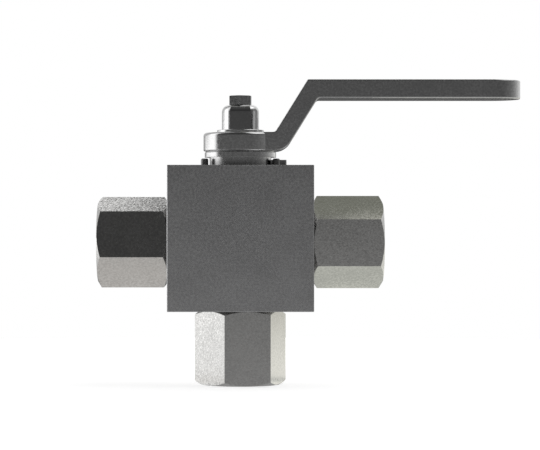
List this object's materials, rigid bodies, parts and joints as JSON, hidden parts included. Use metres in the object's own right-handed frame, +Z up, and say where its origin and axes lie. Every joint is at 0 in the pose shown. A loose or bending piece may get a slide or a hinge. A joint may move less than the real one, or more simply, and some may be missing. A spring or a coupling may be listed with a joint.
{
  "type": "three-way ball valve",
  "caption": "Block-body three-way ball valve with an L-bored ball, screwed-in hexagon port adapters and a cranked lever that turns from port to port.",
  "frame": {"origin": "centre of the bottom port's mouth face", "axes": "+Z up along the stem, +X towards the right port and along the lever at rest, -Y towards the front of the block"},
  "size_m": [0.1583, 0.045, 0.1138],
  "materials": {
    "block_steel": "fine matt plated steel, mottled",
    "adapter_steel": "satin turned bar, lightly speckled",
    "lever_steel": "satin forged steel with rounded rims",
    "stem_steel": "turned steel",
    "dark_steel": "blackened steel",
    "screw_steel": "plated steel",
    "ball_steel": "polished",
    "seat_plastic": "matt, turned",
    "seal_rubber": "matt"
  },
  "bodies": {
    "housing": {"valve_body": "block_steel", "left_stop_pin": "dark_steel", "right_stop_pin": "dark_steel", "left_adapter": "adapter_steel", "right_adapter": "adapter_steel", "bottom_adapter": "adapter_steel", "left_adapter_oring": "seal_rubber", "right_adapter_oring": "seal_rubber", "bottom_adapter_oring": "seal_rubber", "left_seat": "seat_plastic", "right_seat": "seat_plastic", "bottom_seat": "seat_plastic", "left_seat_oring": "seal_rubber", "right_seat_oring": "seal_rubber", "bottom_seat_oring": "seal_rubber"},
    "spindle": {"ball": "ball_steel", "stem": "stem_steel", "stem_thrust_washer": "seat_plastic", "stem_lower_oring": "seal_rubber", "stem_upper_oring": "seal_rubber", "stem_backup_ring": "seat_plastic", "stop_disc": "lever_steel", "cover_washer": "lever_steel", "lever": "lever_steel", "lever_retaining_ring": "stem_steel", "stem_end_screw": "screw_steel"}
  },
  "joints": [
    {"name": "lever_turn", "type": "hinge", "parent": "housing", "child": "spindle", "pos_m": [0, 0, 0.0533], "axis": [0, 0, 1], "range_deg": [0, 180]}
  ]
}
